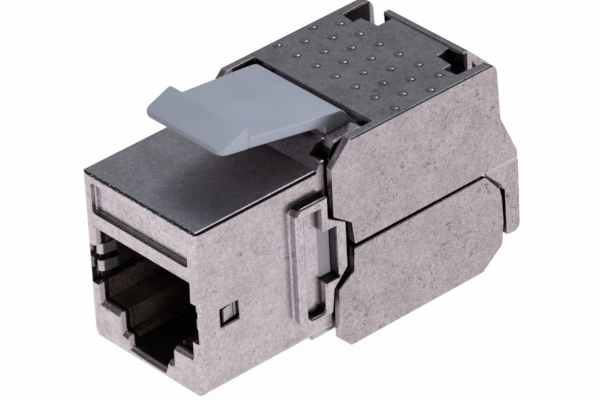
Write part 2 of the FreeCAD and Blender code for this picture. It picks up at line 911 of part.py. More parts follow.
def cable_hood():
    """Hood behind the top plate: a flat strip behind the notches, then a narrower slope over the cable."""
    rear = part_length
    wall = rear - rear_setback
    start = rear - notch_side_rear
    shelf = start + hood_flat
    knee = cover_top - hood_slope
    foot = seam_height + rear_bulge - seam_gap
    half = hood_width / 2
    strip = across([
        (start, cover_top),
        (shelf, cover_top),
        (wall, cover_top - (wall - shelf)),
        (wall, cover_ceiling),
        (start, cover_ceiling),
    ], -half, half)
    slope = across([
        (shelf, cover_top),
        (rear - hood_tail, knee),
        (rear, knee - hood_tail),
        (rear, foot),
        (rear - cover_plate, foot),
        (rear - cover_plate, knee - hood_lip),
        (wall - hood_tail, cover_ceiling),
        (shelf, cover_ceiling),
    ], -half + hood_cheek, half - hood_cheek)
    return strip.fuse(slope)


def hood_notches():
    """Open notch each side of the hood, with a side slot that leaves the plate a narrow neck."""
    neck_side = notch_neck_width / 2
    inner = hood_width / 2 + notch_gap
    outer = cover_inner / 2 - notch_edge
    slot_front = part_length - notch_side_front
    slot_rear = part_length - notch_side_rear
    notch = upright([
        (neck_side, slot_front, notch_corner),
        (inner, slot_front),
        (inner, notch_front),
        (outer, notch_front, notch_corner),
        (outer, part_length + 1),
        (hood_width / 2, part_length + 1),
        (hood_width / 2, slot_rear),
        (neck_side, slot_rear, notch_corner),
    ], rear_shoulder, cover_top + 1)
    return both_sides(notch)


def cable_arch(radius):
    """Round cable entry, open downwards."""
    front = leg_front - rear_wall
    rear = part_length + 1
    arch = Part.makeCylinder(radius, rear - front, Vector(0, front, seam_height), Vector(0, 1, 0))
    return arch.fuse(box(-radius, radius, front, rear, leg_bottom - 1, seam_height))


def stud(depth, height):
    """Hinge stud on the inside of a cover's right wall."""
    end = neck_inner / 2 + stud_end_gap
    return shaft(stud_radius, end, cover_inner / 2 + cover_wall / 2, depth, height)


def lower_side():
    """Side outline of the lower cover: seam, jaw under the ear, keel, and the heel that clears the leg."""
    seam = seam_height - seam_gap / 2
    heel = leg_front - leg_clearance
    return [
        (cover_front + lower_jaw_setback, seam, seam_corner),
        (cover_front + lower_jaw_setback, seam_height - lower_jaw_heel),
        (cover_front + lower_jaw_lean, seam_height - lower_jaw_lip),
        (cover_front + keel_front, cover_bottom + keel_rise),
        (cover_front + keel_length, cover_bottom),
        (leg_front - heel_run, cover_bottom, 0.5),
        (heel - heel_tuck, cover_bottom + cover_drop, 0.6),
        (heel, lower_hinge_height),
        (heel - 0.13, lower_hinge_height + chevron_heel),
        (leg_front - chevron_step, seam_height - chevron_rise - chevron_step),
        (leg_front - chevron_length, seam),
    ]


def lower_cover():
    half = cover_width / 2
    shell = across(lower_side(), -half, half)
    floor = cover_bottom + cover_plate
    rear = leg_front - rear_wall - 2 * leg_clearance
    room = across([
        (cover_front - 1, seam_height + 1),
        (cover_front - 1, cover_bottom - 1),
        (lower_plate_front, cover_bottom - 1),
        (lower_plate_front, floor),
        (leg_front - heel_run - cover_plate / 2, floor, 0.3),
        (rear, lower_hinge_height - cover_drop, 0.3),
        (rear, seam_height + 1),
    ], -cover_inner / 2, cover_inner / 2)
    shell = shell.cut(room)
    entry_front = Vector(0, rear - rear_wall, seam_height)
    entry = Part.makeCylinder(cable_radius, leg_thickness + 2 * rear_wall, entry_front, Vector(0, 1, 0))
    shell = shell.cut(entry)
    return shell.fuse(both_sides(stud(lower_hinge_depth, lower_hinge_height))).removeSplitter()


def shield_spring():
    """Right shield spring: a base strip in its slot, two tongues into the port and a snap barb."""
    outer = spring_slot_outer - spring_margin
    inner = outer - spring_thickness
    low = spring_slot_bottom + spring_margin
    high = spring_slot_bottom + spring_slot_height - spring_margin
    rear = spring_slot_depth - spring_margin
    base = box(inner, outer, spring_nose_depth + spring_loop, rear, low, high)
    solids = [base]
    for k in range(2):
        top = high - k * (spring_tongue_height + spring_tongue_gap)
        solids.append(spring_tongue(inner, outer, top - spring_tongue_height, top))
    low = snap_window_bottom + spring_barb_margin
    high = snap_window_bottom + snap_window_height - spring_barb_margin
    front = snap_window_front + spring_barb_margin
    back = snap_window_front + snap_window_length - spring_barb_margin
    barb = upright([
        (outer - spring_thickness / 4, back),
        (outer + spring_barb_out, front),
        (outer + spring_barb_out - spring_thickness, front),
        (inner, back - spring_thickness),
    ], low, high)
    solids.append(barb)
    return solids[0].fuse(solids[1:]).removeSplitter()


def spring_tongue(inner, outer, z0, z1):
    """Tongue that loops round the slot's front end and bows into the port."""
    nose = spring_nose_depth
    thick = spring_thickness
    turn = spring_bulge + spring_loop - thick / 2
    end = spring_bulge + spring_relief
    tail = spring_slot_depth * 0.7
    return upright([
        (outer, nose + spring_nose_length),
        (outer, nose, spring_loop),
        (turn, nose, spring_loop),
        (spring_bulge, nose + spring_bow_length, 0.8),
        (end, tail),
        (end + thick, tail),
        (spring_bulge + thick, nose + spring_bow_length, 0.8),
        (turn + thick, nose + thick, thick),
        (inner, nose + thick, thick),
        (inner, nose + spring_nose_length),
    ], z0, z1)


def save(name, solid):
    """Move a piece from the drawing's frame to the part's own frame and write it."""
    solid = solid.copy()
    solid.translate(Vector(0, 0, -origin_height))
    if len(solid.Solids) == 1:
        solid = solid.Solids[0]
    print(name, "solids", len(solid.Solids), "valid", solid.isValid(), "volume", round(solid.Volume, 2))
    solid.exportStep(os.path.join("parts", name + ".step"))


os.makedirs("parts", exist_ok=True)
save("front_housing", front_housing())
save("panel_latch", panel_latch())
save("port_insert", port_insert())
for number, x in enumerate(row_places(contact_count, contact_pitch), 1):
    save("contact_spring_%d" % number, contact_spring(x))
right_spring = shield_spring()
save("shield_spring_right", right_spring)
save("shield_spring_left", mirrored(right_spring))
save("circuit_board", circuit_board())
save("terminal_block", terminal_block())
for number, x in enumerate(row_places(blades_per_row, blade_pitch), 1):
    upper_fork = fork(x)
    save("upper_terminal_%d" % number, upper_fork)
    save("lower_terminal_%d" % number, flipped(upper_fork))
save("wire_manager", wire_manager())
save("upper_wire_presser", upper_presser())
save("lower_wire_presser", lower_presser())
save("upper_cover", upper_cover())
save("lower_cover", lower_cover())
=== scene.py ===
import json
import math

import bmesh
import bpy
import numpy as np
from mathutils import Matrix, Vector
from mathutils.bvhtree import BVHTree
from mathutils.geometry import intersect_point_line


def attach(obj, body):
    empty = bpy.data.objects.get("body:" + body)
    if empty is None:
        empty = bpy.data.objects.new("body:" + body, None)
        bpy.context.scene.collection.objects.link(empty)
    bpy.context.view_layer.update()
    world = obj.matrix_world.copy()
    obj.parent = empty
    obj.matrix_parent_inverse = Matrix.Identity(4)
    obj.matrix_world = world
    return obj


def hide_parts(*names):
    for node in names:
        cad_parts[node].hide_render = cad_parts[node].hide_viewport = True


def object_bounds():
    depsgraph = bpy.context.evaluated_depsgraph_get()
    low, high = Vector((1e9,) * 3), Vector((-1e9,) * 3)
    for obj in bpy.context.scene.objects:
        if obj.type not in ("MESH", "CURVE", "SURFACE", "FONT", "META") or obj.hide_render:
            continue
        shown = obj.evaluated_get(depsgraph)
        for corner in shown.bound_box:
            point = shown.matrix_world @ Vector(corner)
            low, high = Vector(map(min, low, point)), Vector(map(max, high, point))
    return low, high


mm = 0.001

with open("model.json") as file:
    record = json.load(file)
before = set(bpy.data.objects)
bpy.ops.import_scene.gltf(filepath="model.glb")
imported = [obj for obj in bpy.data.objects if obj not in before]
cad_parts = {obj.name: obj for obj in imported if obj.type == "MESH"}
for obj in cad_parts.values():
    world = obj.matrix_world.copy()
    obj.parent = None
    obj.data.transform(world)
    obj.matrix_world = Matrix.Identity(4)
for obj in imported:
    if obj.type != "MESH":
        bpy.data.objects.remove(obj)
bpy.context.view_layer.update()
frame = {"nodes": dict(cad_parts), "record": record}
nodes = frame["nodes"]
print("frame loaded,", len(nodes), "solids")

# Sizes and places are drawing millimetres: across from the middle, depth behind the front, height above the
# housing's underside. The frame's origin is the middle of the port's mouth, this high above the underside
portCentre = 7.3


def place(x, y, z):
    # Drawing millimetres to metres in the part's frame, as one array.
    return np.stack(np.broadcast_arrays(x, y, np.asarray(z, float) - portCentre), axis=-1).astype(float) * mm


# Meshes from arrays

def meshPiece(name, points, faces, material, body):
    # A finished smooth piece from its corner points and faces, riding on a body.
    mesh = bpy.data.meshes.new(name)
    mesh.from_pydata(points, [], faces)
    mesh.polygons.foreach_set("use_smooth", np.full(len(mesh.polygons), True))
    mesh.materials.append(material)
    mesh.update()
    piece = bpy.data.objects.new(name, mesh)
    bpy.context.scene.collection.objects.link(piece)
    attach(piece, body)
    return piece


def ringFaces(rings, corners, start):
    # Quads between neighbouring closed rings, and one face over each end.
    ring = np.arange(rings - 1)[:, None]
    corner = np.arange(corners)[None, :]
    following = (corner + 1) % corners
    quads = np.stack(np.broadcast_arrays(ring * corners + corner, ring * corners + following,
                                         (ring + 1) * corners + following, (ring + 1) * corners + corner), -1)
    first = [start + i for i in range(corners)]
    last = [start + (rings - 1) * corners + i for i in range(corners)]
    return (quads.reshape(-1, 4) + start).tolist() + [first[::-1], last]


def joined(grids):
    # Several grids of rings as one point list and one face list.
    points = []
    faces = []
    start = 0
    for grid in grids:
        faces += ringFaces(grid.shape[0], grid.shape[1], start)
        points.append(grid.reshape(-1, 3))
        start += grid.shape[0] * grid.shape[1]
    return np.concatenate(points), faces


def roundedBox(halfWidth, low, high, radius, perCorner=6):
    # Rounded rectangle: four quarter circles of the radius, centred that far inside each corner.
    turn = np.linspace(0, math.pi / 2, perCorner)
    corners = []
    for quarter, (sideX, sideZ) in enumerate([(1, 1), (-1, 1), (-1, -1), (1, -1)]):
        angle = turn + quarter * math.pi / 2
        centreX = sideX * (halfWidth - radius)
        centreZ = (high - radius) if sideZ > 0 else (low + radius)
        corners.append(np.stack([centreX + radius * np.cos(angle), centreZ + radius * np.sin(angle)], -1))
    return np.concatenate(corners)


# Shader maths

class Field:
    # A socket's value that can be added, multiplied and so on, which adds the Math nodes.

    def __init__(self, finish, socket):
        self.finish = finish
        self.socket = socket

    def maths(self, operation, *values):
        return self.finish.node("ShaderNodeMath", {"operation": operation}, dict(enumerate(values)))

    def __add__(self, other):
        return self.maths("ADD", self, other)

    def __radd__(self, other):
        return self.maths("ADD", other, self)

    def __sub__(self, other):
        return self.maths("SUBTRACT", self, other)

    def __rsub__(self, other):
        return self.maths("SUBTRACT", other, self)

    def __mul__(self, other):
        return self.maths("MULTIPLY", self, other)

    def __rmul__(self, other):
        return self.maths("MULTIPLY", other, self)

    def size(self):
        return self.maths("ABSOLUTE", self)

    def ramp(self, low, high):
        # 0 below low, 1 above high, smooth between.
        return self.finish.node("ShaderNodeMapRange", {"interpolation_type": "SMOOTHSTEP"},
                                {"Value": self, "From Min": low, "From Max": high})

    def mix(self, first, second):
        # Colour first where this field is 0, second where it is 1.
        return self.finish.node("ShaderNodeMix", {"data_type": "RGBA"},
                                {"Factor": self, "A": first, "B": second}, "Result")


class Finish:
    # A node tree under construction, of a material or the world. Its lengths are in millimetres.

    def __init__(self, name, tree=None):
        self.material = None
        if tree is None:
            self.material = bpy.data.materials.new(name)
            self.material.use_nodes = True
            tree = self.material.node_tree
        self.tree = tree
        tree.nodes.clear()

    def node(self, kind, settings=None, values=None, output=None):
        # Adds a node: its settings first, then the values or links of its sockets.
        made = self.tree.nodes.new(kind)
        for key, value in (settings or {}).items():
            setattr(made, key, value)
        for key, value in (values or {}).items():
            socket = self.socketOf(made, key)
            if isinstance(value, Field):
                self.tree.links.new(value.socket, socket)
            elif socket.type == "RGBA" and len(value) == 3:
                socket.default_value = (*value, 1)
            else:
                socket.default_value = value
        shown = [s for s in made.outputs if s.enabled]
        if not shown:
            return made
        return Field(self, next((s for s in shown if s.name == output), shown[0]))

    @staticmethod
    def socketOf(made, key):
        if isinstance(key, int):
            return made.inputs[key]
        return next(s for s in made.inputs if s.name == key and s.enabled)

    def noise(self, grain, detail=2.0, rough=0.5, stretch=None):
        # Noise of a grain size in the piece's own coordinates; a stretch below 1 lengthens it that way.
        coordinates = self.node("ShaderNodeTexCoord", None, None, "Object")
        if stretch:
            coordinates = self.node("ShaderNodeMapping", None, {"Vector": coordinates, "Scale": stretch})
        return self.node("ShaderNodeTexNoise", None, {"Vector": coordinates, "Scale": 1 / (grain * mm),
                                                      "Detail": detail, "Roughness": rough})

    def dot(self, first, second):
        return self.node("ShaderNodeVectorMath", {"operation": "DOT_PRODUCT"}, {0: first, 1: second}, "Value")

    def along(self, *axis):
        # Place along an axis of the piece, from the part's origin.
        coordinates = self.node("ShaderNodeTexCoord", None, None, "Object")
        return self.dot(coordinates, [a / mm for a in axis])

    def facing(self):
        return self.node("ShaderNodeNewGeometry", None, None, "Normal")

    def upright(self, low, high):
        # 1 on faces that look to the left or right, 0 on those that look along or up.
        return self.dot(self.facing(), (1, 0, 0)).size().ramp(low, high)

    def openness(self, reach):
        # 1 in the open, less in hollows that are narrower than the reach.
        return self.node("ShaderNodeAmbientOcclusion", {"samples": 6}, {"Distance": reach * mm}, "AO")

    def softEdges(self, radius, samples):
        return self.node("ShaderNodeBevel", {"samples": samples}, {"Radius": radius * mm})

    def bump(self, field, strength, depth, normal=None):
        values = {"Height": field, "Strength": strength, "Distance": depth * mm}
        if normal is not None:
            values["Normal"] = normal
        return self.node("ShaderNodeBump", None, values)

    def surface(self, **values):
        shader = self.node("ShaderNodeBsdfPrincipled", None,
                           {key.replace("_", " "): value for key, value in values.items()})
        self.node("ShaderNodeOutputMaterial", None, {"Surface": shader})
        return self.material


# Cast metal. A pair is the noise's or the distance's values where an effect starts and where it is full
housingZinc = {
    "light": (0.72, 0.637, 0.686),
    "dark": (0.36, 0.316, 0.342),
    "grainSize": 0.105,
    "mottleSize": 0.48,
    "cloudSize": 2.6,
    "grainShare": 1.7,
    "mottleShare": 1.05,
    "cloudShare": 0.7,
    "hairTone": (0.11, 0.092, 0.096),
    "hairs": 0.5,
    "hairBendSize": 0.9,
    "hairWidth": (0.004, 0.030),
    "hairPieceSize": 0.75,
    "hairPieces": (0.53, 0.60),
    "hairPatchSize": 3.1,
    "hairSpread": (0.45, 0.62),
    # dark tone of the small pits, and of the painted shade in corners, inside and along the top front edge
    "sootAndShade": (0.022, 0.019, 0.020),
    "pits": 0.6,
    "pitSize": 0.42,
    "pitSpread": (0.735, 0.80),
    # where shade is painted: within the corner reach, and deeper inside within the inside reach
    "cornerReach": 0.5,
    "cornerShade": (0.40, 0.88),
    "insideReach": 4.0,
    "insideShade": (0.22, 0.42),
    "roughness": 0.25,
    "roughDrift": 0.10,
    # painted shade in the rooms, unless a room gives its own tone
    "roomShadeTone": (0.012, 0.009, 0.008),
    "roomRoughness": 0.25,
    # light tone of the painted highlights, where the metal is made less metallic
    "highlightTone": (0.56, 0.50, 0.525),
    "fleckSize": 0.15,
    "fleckSpread": (0.50, 0.62),
    "frontTop": 16.4,
    "chipTone": (0.75, 0.72, 0.73),
    "chipDepth": 0.38,
    "chipSize": 0.16,
    "chipSpread": (0.64, 0.70),
    "fraySize": 0.35,
    "frayDepth": 0.30,
    "edgeRound": 0.05,
    "grainDepth": 0.018,
    "mottleDepth": 0.035,
}

coverZinc = {
    **housingZinc,
    "light": (0.605, 0.523, 0.560),
    "dark": (0.312, 0.268, 0.288),
    "hairs": 0.88,
    "hairSpread": (0.40, 0.57),
}

# Painted shade in hollows of the castings, and thin painted dark lines along two edges, as boxes on the
# drawing, alike on both sides of the middle
housingShadedRooms = [
    {"sideways": (-1.0, 6.15), "depth": (0.50, 13.0), "height": (0.40, 11.09), "dark": 0.90,
     "tone": (0.085, 0.062, 0.057)},
    {"sideways": (5.62, 7.0), "depth": (14.1, 15.55), "height": (16.55, 17.85), "dark": 0.92},
    # thin painted dark line along the housing's top right edge
    {"sideways": (6.9, 7.5), "depth": (-0.1, 13.5), "height": (16.09, 16.355), "dark": 0.97, "soft": 0.02},
    {"sideways": (7.2, 7.95), "depth": (10.05, 14.3), "height": (13.99, 14.50), "dark": 0.96},
    {"sideways": (7.3, 7.98), "depth": (11.9, 13.6), "height": (2.70, 3.25), "dark": 0.92},
    {"sideways": (6.9, 8.2), "depth": (13.15, 14.8), "height": (5.55, 5.95), "dark": 0.92},
    {"sideways": (6.9, 7.97), "depth": (14.55, 14.8), "height": (5.7, 10.9), "dark": 0.70},
]
coverShadedRooms = [
    {"sideways": (-1.0, 7.50), "depth": (29.8, 33.05), "height": (14.0, 18.45), "dark": 0.94},
    # thin painted dark line along the upper cover's top right edge
    {"sideways": (8.0, 8.5), "depth": (16.6, 33.5), "height": (18.37, 18.56), "dark": 0.93, "soft": 0.02},
]
# Painted highlights: light, less metallic places, whose level faces are only flecked: lips of the port, the
# neck's top, the step over the leg and the front of the upper cover's sides
housingPaintedHighlights = [
    {"sideways": (1.5, 6.4), "depth": (-0.2, 0.62), "height": (0.4, 11.2), "level": 0.45},
    {"sideways": (5.2, 7.3), "depth": (15.6, 19.2), "height": (17.85, 18.9), "level": 0.3},
    {"sideways": (6.60, 6.95), "depth": (15.95, 19.4), "height": (17.95, 18.3), "level": 3.0},
]
coverPaintedHighlights = [
    {"sideways": (8.0, 8.5), "depth": (31.85, 35.8), "height": (7.88, 8.22), "level": 2.0},
    {"sideways": (7.3, 8.12), "depth": (13.9, 17.2), "height": (15.6, 18.6), "level": 0.12},
]


def castZincFinish(name, values, shadedRooms, highlightPlaces, chipped=False):
    # Satin nickel plate over a zinc casting: fine grain, mottled stain, hair marks, small pits, painted shade
    # in corners, inside and in the shaded rooms, and painted highlights. The housing's top front edge gets a
    # dark line with light flecks as well.
    v = values
    finish = Finish(name)
    grain = finish.noise(v["grainSize"], 2.0, 0.6)
    mottle = finish.noise(v["mottleSize"], 4.0, 0.68)
    cloud = finish.noise(v["cloudSize"], 3.0, 0.6)
    shade = ((grain - 0.5) * v["grainShare"] + (mottle - 0.5) * v["mottleShare"]
             + (cloud - 0.5) * v["cloudShare"])
    colour = shade.ramp(-0.5, 0.5).mix(v["dark"], v["light"])
    hairLines = 1 - (finish.noise(v["hairBendSize"], 2.5, 0.6) - 0.5).size().ramp(*v["hairWidth"])
    hairPieces = finish.noise(v["hairPieceSize"], 2.0, 0.6).ramp(*v["hairPieces"])
    hairPatches = finish.noise(v["hairPatchSize"]).ramp(*v["hairSpread"])
    colour = (hairLines * hairPieces * hairPatches * v["hairs"]).mix(colour, v["hairTone"])
    pits = finish.noise(v["pitSize"], 1.0).ramp(*v["pitSpread"])
    colour = (pits * v["pits"]).mix(colour, v["sootAndShade"])
    # painted shade: darker in corners and deep inside, where the surface is hemmed in
    colour = (1 - finish.openness(v["cornerReach"]).ramp(*v["cornerShade"])).mix(colour, v["sootAndShade"])
    colour = (1 - finish.openness(v["insideReach"]).ramp(*v["insideShade"])).mix(colour, v["sootAndShade"])
    roughness = grain * v["roughDrift"] + mottle * v["roughDrift"] + v["roughness"] - v["roughDrift"]
    # painted shade: each room is darkened towards its tone, grained
    for room in shadedRooms:
        inside = roomMask(finish, room)
        tone = room.get("tone", v["roomShadeTone"])
        paintedShade = grain.ramp(0.3, 0.7).mix([c * 0.14 for c in tone], tone)
        colour = (inside * room["dark"]).mix(colour, paintedShade)
        roughness = roughness + inside * v["roomRoughness"]
    upright = finish.upright(0.3, 0.7)
    flecks = finish.noise(v["fleckSize"], 1.0).ramp(*v["fleckSpread"])
    metal = 1.0
    # painted highlights: light, less metallic patches, upright faces fully and level faces in flecks
    for highlightPlace in highlightPlaces:
        bright = upright + (1 - upright) * flecks * highlightPlace["level"]
        bright = roomMask(finish, highlightPlace) * finish.node("ShaderNodeClamp", None, {"Value": bright})
        colour = bright.mix(colour, v["highlightTone"])
        metal = metal - bright * 0.85
    if chipped:
        # a dark line along the top front edge, with light flecks in it
        line, chips = chipMasks(finish, v)
        colour = line.mix(colour, v["sootAndShade"])
        colour = chips.mix(colour, v["chipTone"])
        metal = metal - chips
    normal = finish.bump(grain, 0.22, v["grainDepth"], finish.softEdges(v["edgeRound"], 8))
    normal = finish.bump(mottle, 0.12, v["mottleDepth"], normal)
    return finish.surface(Base_Color=colour, Metallic=metal, Roughness=roughness, Normal=normal)


def roomMask(finish, room):
    # 1 inside the box and 0 outside, with soft sides.
    soft = room.get("soft", 0.05)
    distances = {"sideways": finish.along(1, 0, 0).size(), "depth": finish.along(0, 1, 0),
                 "height": finish.along(0, 0, 1) + portCentre}
    mask = 1.0
    for side, distance in distances.items():
        low, high = room[side]
        mask = mask * (distance.ramp(low, low + 2 * soft) * (1 - distance.ramp(high - soft, high + soft)))
    return mask


def chipMasks(finish, values):
    # The dark line along the top front edge, and the light, less metallic flecks in it where a short noise is
    # high.
    depth = values["chipDepth"]
    down = values["frontTop"] - portCentre - finish.along(0, 0, 1)
    fray = finish.noise(values["fraySize"], 2.0, 0.6) * values["frayDepth"]
    line = 1 - (finish.along(0, 1, 0) + down + fray).ramp(depth * 0.85, depth)
    chips = finish.noise(values["chipSize"], 1.0, 0.6).ramp(*values["chipSpread"]) * line
    return line, chips


# The share of speckle is how much of the change from colour to shade follows the grain, not the slow drift
plainPlastic = {
    "colour": (0.70, 0.69, 0.66),
    "shade": (0.62, 0.61, 0.58),
    "grainSize": 0.09,
    "grainDepth": 0.010,
    "driftSize": 4.5,
    "speckle": 0.12,
    "speckSize": 0.5,
    "speckSpread": (0.745, 0.79),
    "specks": 0.35,
    "roughness": 0.5,
    "roughDrift": 0.10,
    "edgeRound": 0.05,
}
latchPlastic = {
    **plainPlastic,
    "colour": (0.360, 0.386, 0.470),
    "shade": (0.298, 0.324, 0.402),
    "grainSize": 0.12,
    "speckle": 0.30,
    "roughness": 0.52,
    # painted light: a lighter warm tone in the latch's hollows, where little light reaches
    "hollowLitTone": (0.44, 0.405, 0.41),
    "hollowReach": 5.0,
    "hollowShade": (0.12, 0.50),
    # painted shade on the latch's upright sides, darker towards the root
    "rootShadeTone": (0.030, 0.027, 0.028),
    "rootShade": 0.9,
    "rootShadeDepth": (3.0, 6.6),
    "rootShadeSlope": 0.9,
}
insertPlastic = {
    **plainPlastic,
    "colour": (0.003, 0.002, 0.002),
    "shade": (0.088, 0.062, 0.055),
    "grainSize": 0.15,
    "speckle": 2.2,
    "roughness": 0.46,
    # painted highlight: light brown lines on the insert's rounded edges
    "edgeHighlightTone": (0.10, 0.078, 0.068),
    "edgeHighlight": 0.8,
    "edgeTurn": (0.93, 0.995),
}
windowPlastic = {**plainPlastic, "colour": (0.35, 0.322, 0.378), "shade": (0.305, 0.280, 0.332)}


def plasticFinish(name, values):
    # Moulded plastic: fine spark-eroded grain, slow colour drift and specks. Where the values say so, hollows
    # get a lighter tone of painted light, rounded edges a painted highlight, and painted shade darkens
    # upright sides, more to the rear and below.
    v = values
    finish = Finish(name)
    grain = finish.noise(v["grainSize"], 2.0, 0.55)
    drift = finish.noise(v["driftSize"], 3.0, 0.6)
    share = (grain - 0.5) * v["speckle"] * 2.5 + (drift - 0.5) * 1.4 * (1 - v["speckle"])
    tone = share.ramp(-0.5, 0.5).mix(v["colour"], v["shade"])
    specks = finish.noise(v["speckSize"], 1.0).ramp(*v["speckSpread"])
    tone = (specks * v["specks"]).mix(tone, [c * 0.3 for c in v["colour"]])
    # painted light: hollows take a lighter tone
    if "hollowLitTone" in v:
        tone = (1 - finish.openness(v["hollowReach"]).ramp(*v["hollowShade"])).mix(tone, v["hollowLitTone"])
    # painted shade: upright sides darker to the rear and lower down
    if "rootShadeTone" in v:
        reach = finish.along(0, 1, 0) - finish.along(0, 0, 1) * v["rootShadeSlope"]
        rootShade = reach.ramp(*v["rootShadeDepth"]) * finish.upright(0.25, 0.75) * v["rootShade"]
        tone = rootShade.mix(tone, v["rootShadeTone"])
    rounded = finish.softEdges(v["edgeRound"], 4)
    # painted highlight along rounded edges
    if "edgeHighlightTone" in v:
        litEdges = 1 - finish.dot(rounded, finish.facing()).ramp(*v["edgeTurn"])
        tone = (litEdges * v["edgeHighlight"]).mix(tone, v["edgeHighlightTone"])
    roughness = grain * v["roughDrift"] + v["roughness"] - v["roughDrift"] / 2
    normal = finish.bump(grain, 0.22, v["grainDepth"], rounded)
    return finish.surface(Base_Color=tone, Roughness=roughness, Normal=normal)


steelStrip = {
    "colour": (0.60, 0.55, 0.575),
    "roughness": 0.34,
    "lineSize": 0.05,
    "lineStretch": (1.0, 0.06, 1.0),
    "cloudSize": 1.3,
    "paintedShade": 0.96,
    "paintedShadeTone": (0.012, 0.009, 0.008),
    "shadedRooms": [  # painted shade round what shows in the side windows
        {"sideways": (6.5, 7.4), "depth": (2.0, 2.72), "height": (5.5, 8.4)},
        {"sideways": (6.5, 7.4), "depth": (2.0, 4.6), "height": (5.5, 6.32)},
        {"sideways": (6.5, 7.4), "depth": (3.82, 4.02), "height": (5.5, 8.4)},
    ],
}
goldStrip = {**steelStrip, "colour": (0.90, 0.66, 0.27), "roughness": 0.22, "shadedRooms": []}


def stripFinish(name, values):
    # Rolled and plated strip metal with fine lines along its length, with painted shade in its rooms.
    v = values
    finish = Finish(name)
    lines = finish.noise(v["lineSize"], 2.0, 0.5, v["lineStretch"])
    cloud = finish.noise(v["cloudSize"])
    tone = cloud.ramp(0.35, 0.7).mix(v["colour"], [c * 0.78 for c in v["colour"]])
    # painted shade in each room
    for room in v["shadedRooms"]:
        tone = (roomMask(finish, room) * v["paintedShade"]).mix(tone, v["paintedShadeTone"])
    roughness = lines * 0.14 + v["roughness"] - 0.07
    normal = finish.bump(lines, 0.10, 0.008)
    return finish.surface(Base_Color=tone, Metallic=1.0, Roughness=roughness, Normal=normal)


def boardFinish(name):
    # Green solder mask with a faint glass weave under it.
    finish = Finish(name)
    weave = finish.noise(0.30, 2.0, 0.5, (1.0, 1.0, 0.25))
    tone = weave.ramp(0.3, 0.7).mix((0.012, 0.085, 0.035), (0.02, 0.13, 0.05))
    normal = finish.bump(weave, 0.12, 0.012)
    return finish.surface(Base_Color=tone, Roughness=0.3, Normal=normal)


coverFinish = castZincFinish("coverZinc", coverZinc, coverShadedRooms, coverPaintedHighlights)
dotFinish = castZincFinish("dotZinc", {**coverZinc, "roughness": 0.13}, [], [])
housingFinish = castZincFinish("housingZinc", housingZinc, housingShadedRooms, housingPaintedHighlights, True)
latchFinish = plasticFinish("greyPlastic", latchPlastic)
blockFinish = plasticFinish("blockPlastic", windowPlastic)

slotFinish = {
    "plated_zinc": coverFinish,
    "grey_plastic": latchFinish,
    "black_plastic": plasticFinish("blackPlastic", insertPlastic),
    "white_plastic": plasticFinish("whitePlastic", plainPlastic),
    "board_laminate": boardFinish("board"),
    "spring_steel": stripFinish("springSteel", steelStrip),
    "gold_contact": stripFinish("goldPlate", goldStrip),
}
nodeFinish = {"terminal_block": blockFinish}  # solids that differ from their slot's usual finish
print("finishes made")


def dressSolids():
    # The solids whose shape is right keep it and get their finish.
    for part in frame["record"]["subparts"]:
        materials = nodes[part["node"]].data.materials
        materials.clear()
        materials.append(nodeFinish.get(part["node"], slotFinish[part["material_slot"]]))


dressSolids()
print("solids dressed")


# Castings with rounded edges

castings = {
    "front_housing": {"piece": "frontHousing", "body": "housing", "finish": housingFinish,
                      "round": 0.24, "leastRound": 0.05, "sliver": 0.01},
    "upper_cover": {"piece": "upperCover", "body": "upper_shell", "finish": coverFinish,
                    "round": 0.11, "leastRound": 0.06, "sliver": 0.08},
    "lower_cover": {"piece": "lowerCover", "body": "lower_shell", "finish": coverFinish,
                    "round": 0.11, "leastRound": 0.06, "sliver": 0.08},
}

rounding = {
    "weld": 0.001,
    "flatTurn": 1.5,     # degrees between faces that are merged
    "sharpTurn": 28,     # degrees from which an edge is rounded
    "shadedTurn": 34,    # degrees from which the rounded mesh is shaded as an edge
    "onwardTurn": 38,    # degrees up to which an edge goes straight on in the next
    "foldedTurn": 155,   # degrees from which two edges lie back on each other
    "roomShare": 0.40,   # of the room beside an edge, for its radius
    "besideEdge": (0.02, 0.98),
    "strayDistance": 0.13,
    "turnedOver": -0.2,
    "least": 0.06,       # side of the smallest triangle whose direction counts
    "strayReach": 0.3,
    "tries": 6,
    "passes": 30,
    "segments": 3,
}


def neighbours(edge):
    # Edges that meet this one in its two faces, each with the angle by which it turns off.
    for face in edge.link_faces:
        for corner in edge.verts:
            for other in corner.link_edges:
                if other is not edge and other in face.edges:
                    ahead = corner.co - edge.other_vert(corner).co
                    yield other, math.degrees(ahead.angle(other.other_vert(corner).co - corner.co))


def nearest(edge):
    # Distance to the nearest corner of the edge's two faces that lies beside it, not beyond its ends.
    start = edge.verts[0].co
    along = edge.verts[1].co - start
    low, high = rounding["besideEdge"]
    found = [1.0]
    for face in edge.link_faces:
        for corner in face.verts:
            across = corner.co - start
            share = across.dot(along) / along.length ** 2
            if corner not in edge.verts and low < share < high:
                found.append((across - share * along).length)
    return min(found)


def levelled(shares):
    # The same share along a run of edges that go straight on: the least of them.
    onward = {edge: [other for other, turn in neighbours(edge)
                     if turn <= rounding["onwardTurn"] and other in shares] for edge in shares}
    for _ in range(rounding["passes"]):
        for edge, others in onward.items():
            shares[edge] = min([shares[edge]] + [shares[other] for other in others])
    return shares


def roundingShares(work, radius, least):
    # Share of the full radius for each sharp edge: limited by the edges that turn off at its ends and by the
    # corners beside it, though not below the least.
    sharpTurn = math.radians(rounding["sharpTurn"])
    shares = {}
    for edge in work.edges:
        if len(edge.link_faces) == 2 and edge.calc_face_angle(0) > sharpTurn:
            turning = [(other.calc_length(), turn) for other, turn in neighbours(edge)
                       if turn > rounding["onwardTurn"]]
            folded = any(turn > rounding["foldedTurn"] for length, turn in turning)
            room = min([length for length, turn in turning] + [nearest(edge)])
            shares[edge] = 0.0 if folded else min(1.0, max(room * rounding["roomShare"], least) / radius)
    return shares


